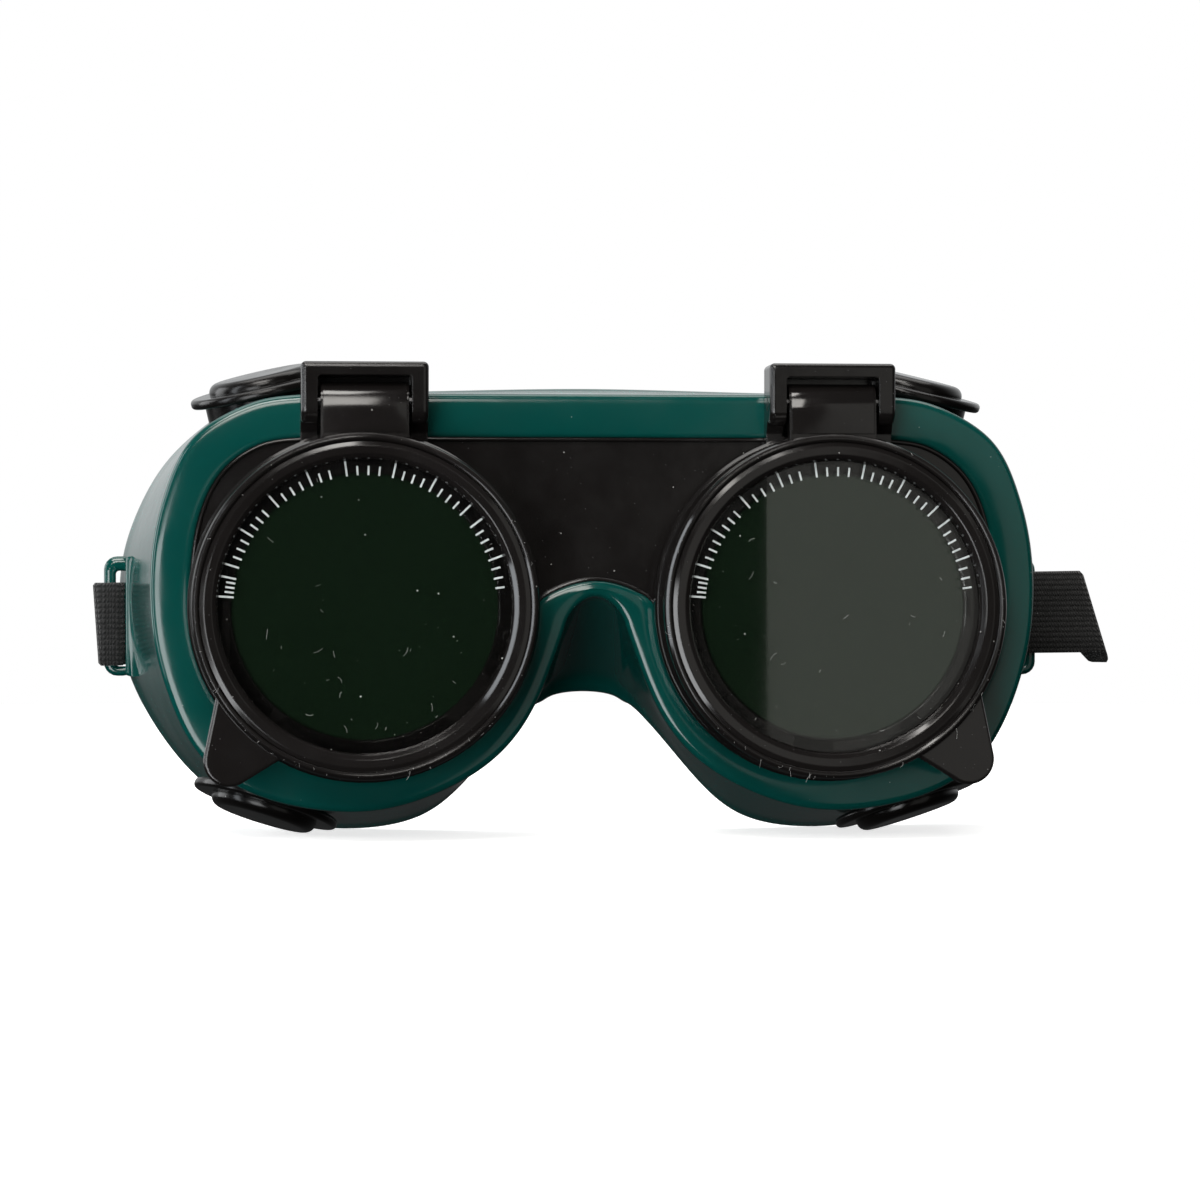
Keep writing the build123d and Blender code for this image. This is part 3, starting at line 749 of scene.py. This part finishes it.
def build_lights():
    area_light("softbox_left", (-0.95, 0.30, 0.24), AIM, (0.5, 0.7), 4.0, (0.97, 0.99, 1.0))
    area_light("softbox_top", (0.0, 0.10, 1.0), AIM, (1.2, 0.6), 7.0, (1.0, 0.98, 0.95))
    area_light("key_front", (-0.30, -0.80, 0.95), AIM, (0.6, 0.4), 9.0, (1.0, 0.97, 0.93))
    area_light("window_high", (-0.20, -1.25, 0.62), AIM, (0.5, 0.32), 4.5, (1.0, 0.97, 0.92))
    area_light("fill_front", (-0.50, -1.05, -0.15), AIM, (0.5, 0.6), 6.5, (0.97, 0.99, 1.0))
    area_light("strip_front_left", (-1.0, -0.45, 0.22), AIM, (0.22, 1.0), 4.0, (0.90, 0.95, 1.0))
    area_light("panel_right", (0.605, -1.2, 0.05), (0.05, -0.03, 0.04), (0.9, 1.2), 1.45, (1.0, 0.99, 0.93))


def world_brightness(tree):
    """White paper behind, above and beside the object, dimmer below, and dark on the camera's side."""
    place = tree.nodes.new("ShaderNodeTexCoord")
    split = tree.nodes.new("ShaderNodeSeparateXYZ")
    tree.links.new(place.outputs["Generated"], split.inputs["Vector"])
    levels = []
    for axis, low, high, dark, light in (("Y", -0.25, 0.75, 0.03, 0.8), ("Z", -0.16, 0.17, 0.05, 1.0)):
        level = tree.nodes.new("ShaderNodeMapRange")
        level.interpolation_type = "SMOOTHSTEP"
        tree.links.new(split.outputs[axis], level.inputs["Value"])
        for key, value in (("From Min", low), ("From Max", high), ("To Min", dark), ("To Max", light)):
            level.inputs[key].default_value = value
        levels.append(level.outputs["Result"])
    both = tree.nodes.new("ShaderNodeMath")
    both.operation = "MULTIPLY"
    for socket, level in enumerate(levels):
        tree.links.new(level, both.inputs[socket])
    return both.outputs["Value"]


def build_world():
    world = bpy.data.worlds.new("studio")
    bpy.context.scene.world = world
    world.use_nodes = True
    tree = world.node_tree
    seen = tree.nodes["Background"]
    seen.inputs["Color"].default_value = (1, 1, 1, 1)
    seen.inputs["Strength"].default_value = 1.0
    room = tree.nodes.new("ShaderNodeBackground")
    room.inputs["Color"].default_value = (0.97, 0.99, 1.0, 1)
    tree.links.new(world_brightness(tree), room.inputs["Strength"])
    path = tree.nodes.new("ShaderNodeLightPath")
    mix = tree.nodes.new("ShaderNodeMixShader")
    tree.links.new(path.outputs["Is Camera Ray"], mix.inputs[0])
    tree.links.new(room.outputs["Background"], mix.inputs[1])
    tree.links.new(seen.outputs["Background"], mix.inputs[2])
    tree.links.new(mix.outputs["Shader"], tree.nodes["World Output"].inputs["Surface"])


FLOOR_R, FLOOR_DROP = 0.9, 0.0002


def build_floor():
    """A pale round sweep that glows a little, and lets the soft light through from below."""
    bm = bmesh.new()
    bmesh.ops.create_circle(bm, cap_ends=True, segments=128, radius=FLOOR_R)
    mesh = bpy.data.meshes.new("floor")
    bm.to_mesh(mesh)
    bm.free()
    floor = bpy.data.objects.new("floor", mesh)
    floor.location.z = -FLOOR_DROP
    bpy.context.scene.collection.objects.link(floor)
    nodes = Nodes("pale_floor")
    grain = nodes.add("TexNoise", {"Vector": nodes.coords.outputs["Object"], "Scale": 300.0}).outputs["Fac"]
    nodes.shape(Base_Color=nodes.mix_colour(grain, colour(0.88, 0.88, 0.88), colour(0.92, 0.92, 0.92)),
                Roughness=0.9, Specular_IOR_Level=0.0, Emission_Color=colour(1, 1, 1), Emission_Strength=0.75)
    open_to_light = nodes.add("BsdfTransparent")
    path = nodes.add("LightPath")
    both = nodes.add("MixShader", {0: path.outputs["Is Camera Ray"], 1: open_to_light.outputs["BSDF"],
                                   2: nodes.shader.outputs["BSDF"]})
    nodes.tree.links.new(both.outputs["Shader"], nodes.tree.nodes["Material Output"].inputs["Surface"])
    mesh.materials.append(nodes.material)


# ---- everything ----
def dress(starts, material):
    """Gives every CAD node whose name starts with one of these its real material."""
    for name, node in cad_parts.items():
        if name.startswith(starts):
            for slot in node.material_slots:
                slot.material = material


build_camera()
vinyl = green_vinyl()
build_strap(elastic())
build_stitches(thread())
build_body(vinyl)
ink, fibre = white_ink(), lint_fibre()
for side_name in SIDES:
    build_lug(side_name, vinyl)
    build_lug_root(side_name, vinyl)
    build_marks(side_name, ink)
    build_lint(side_name, fibre)
plate_black = black_plastic("plate_black", 0.10, 0.2, 0.006, 0.1)
cup_black = black_plastic("cup_black", grey=0.0075)
build_plate_bead(cup_black)
for side_name in SIDES:
    build_tongue_shell(side_name, cup_black)
dress(("front_plate",), plate_black)
dress(("flip_cup", "cover_ring", "shade_ring", "clear_ring"), cup_black)
dress(("vent", "strap_keeper"), black_plastic("vent_black", 0.14, 0.26, dusty=0.9, shine=0.28))
dress(("hinge_pin",), pin_steel())
dress(("cover_lens",), clear_glass("cover_glass", colour(0.97, 0.98, 0.97)))
dress(("clear_lens",), clear_glass("clear_polycarbonate", colour(0.96, 0.97, 0.96)))
dress(("shade_lens",), shade_glass())
build_lights()
build_world()
build_floor()
bpy.context.scene.view_settings.view_transform = "Standard"
